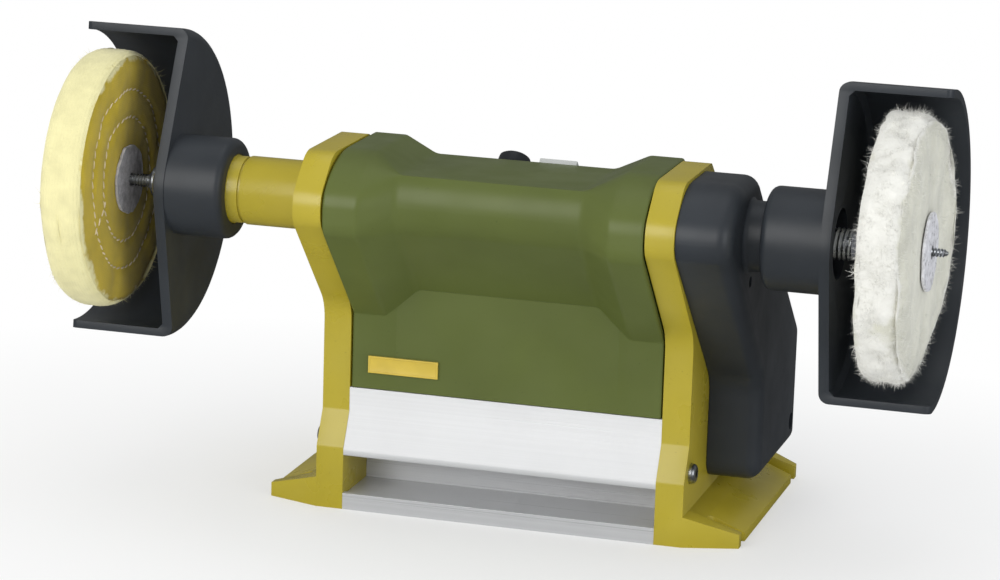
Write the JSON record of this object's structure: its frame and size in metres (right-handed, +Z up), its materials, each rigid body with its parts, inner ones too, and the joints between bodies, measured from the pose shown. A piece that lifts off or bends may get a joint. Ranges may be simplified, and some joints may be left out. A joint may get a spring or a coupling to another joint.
{
  "type": "dental polishing lathe",
  "caption": "Bench polishing lathe: belt-driven spindle with a buffing wheel on each end, half-round guards, knob-controlled speed and an open tray in the base.",
  "frame": {"origin": "centre of the four bench slots, on the underside that stands on the bench", "axes": "+X along the spindle towards the belt cover, +Y to the back of the machine, +Z up"},
  "size_m": [0.348, 0.182, 0.1844],
  "materials": {
    "olive_paint": "satin",
    "bare_aluminium": "extruded, satin",
    "green_shell": "satin",
    "black_satin": "satin",
    "black_gloss": "gloss",
    "grey_plastic": "satin",
    "badge_yellow": "satin",
    "bright_steel": "ground",
    "zinc_steel": "plated",
    "belt_rubber": "matte",
    "magnet_ferrite": "matte",
    "bronze": "sintered",
    "brass_parts": "drawn",
    "carbon": "matte",
    "board_green": "gloss",
    "pulley_aluminium": "turned",
    "copper_bars": "turned",
    "fan_plastic": "satin",
    "yellow_buff": "stitched cloth layers",
    "white_buff": "loose cloth layers",
    "grey_fibre": "pressed fibre, rough",
    "disc_metal": "pressed, satin"
  },
  "bodies": {
    "machine": {"left_end_plate": "olive_paint", "right_end_plate": "olive_paint", "base_profile": "bare_aluminium", "housing_shell": "green_shell", "rear_cover": "black_satin", "badge_plate": "badge_yellow", "belt_cover": "black_satin", "bearing_outer_rings": "bright_steel", "bearing_balls": "bright_steel", "drive_belt": "belt_rubber", "motor_can": "zinc_steel", "motor_end_caps": "zinc_steel", "motor_magnets": "magnet_ferrite", "motor_bushes": "bronze", "brush_holders": "brass_parts", "carbon_brushes": "carbon", "motor_screws": "bright_steel", "control_board": "board_green", "board_components": "black_gloss", "board_screws": "bright_steel", "potentiometer_body": "zinc_steel", "potentiometer_nut": "bright_steel", "switch_body": "black_gloss", "switch_bezel": "grey_plastic", "cord_gland": "black_satin", "gland_nut": "black_satin", "plate_screws": "bright_steel", "cover_screws": "bright_steel", "rear_cover_screws": "bright_steel"},
    "spindle": {"spindle_shaft": "bright_steel", "left_taper_point": "bright_steel", "right_taper_point": "bright_steel", "bearing_inner_rings": "bright_steel", "spindle_pulley": "pulley_aluminium", "pulley_set_screws": "bright_steel", "spindle_clips": "bright_steel", "left_wheel": "yellow_buff", "left_wheel_discs": "grey_fibre", "right_wheel": "white_buff", "right_wheel_discs": "disc_metal"},
    "motor_rotor": {"motor_shaft": "bright_steel", "motor_armature": "zinc_steel", "motor_commutator": "copper_bars", "motor_fan": "fan_plastic", "motor_pulley": "pulley_aluminium"},
    "left_guard_cup": {"left_guard": "black_satin", "left_guard_screw": "bright_steel"},
    "right_guard_cup": {"right_guard": "black_satin", "right_guard_screw": "bright_steel"},
    "knob": {"speed_knob": "black_gloss", "potentiometer_shaft": "bright_steel"},
    "rocker": {"switch_rocker": "black_gloss"}
  },
  "joints": [
    {"name": "spindle_spin", "type": "hinge", "parent": "machine", "child": "spindle", "pos_m": [0, -0.0585, 0.124], "axis": [1, 0, 0], "continuous": true},
    {"name": "motor_spin", "type": "hinge", "parent": "machine", "child": "motor_rotor", "pos_m": [0, 0.0116, 0.042], "axis": [1, 0, 0], "continuous": true},
    {"name": "left_guard_turn", "type": "hinge", "parent": "machine", "child": "left_guard_cup", "pos_m": [-0.1168, -0.0585, 0.124], "axis": [1, 0, 0], "range_deg": [-90, 90]},
    {"name": "right_guard_turn", "type": "hinge", "parent": "machine", "child": "right_guard_cup", "pos_m": [0.108, -0.0585, 0.124], "axis": [1, 0, 0], "range_deg": [-90, 90]},
    {"name": "speed_knob_turn", "type": "hinge", "parent": "machine", "child": "knob", "pos_m": [-0.0085, -0.0241, 0.13175], "axis": [0, 0.6348, 0.7727], "range_deg": [-135, 135]},
    {"name": "switch_rock", "type": "hinge", "parent": "machine", "child": "rocker", "pos_m": [0.0125, -0.02691, 0.13069], "axis": [1, 0, 0], "range_deg": [0, 16]}
  ],
  "couplings": [
    {"joint": "motor_spin", "follows": "spindle_spin", "ratio": 2}
  ]
}
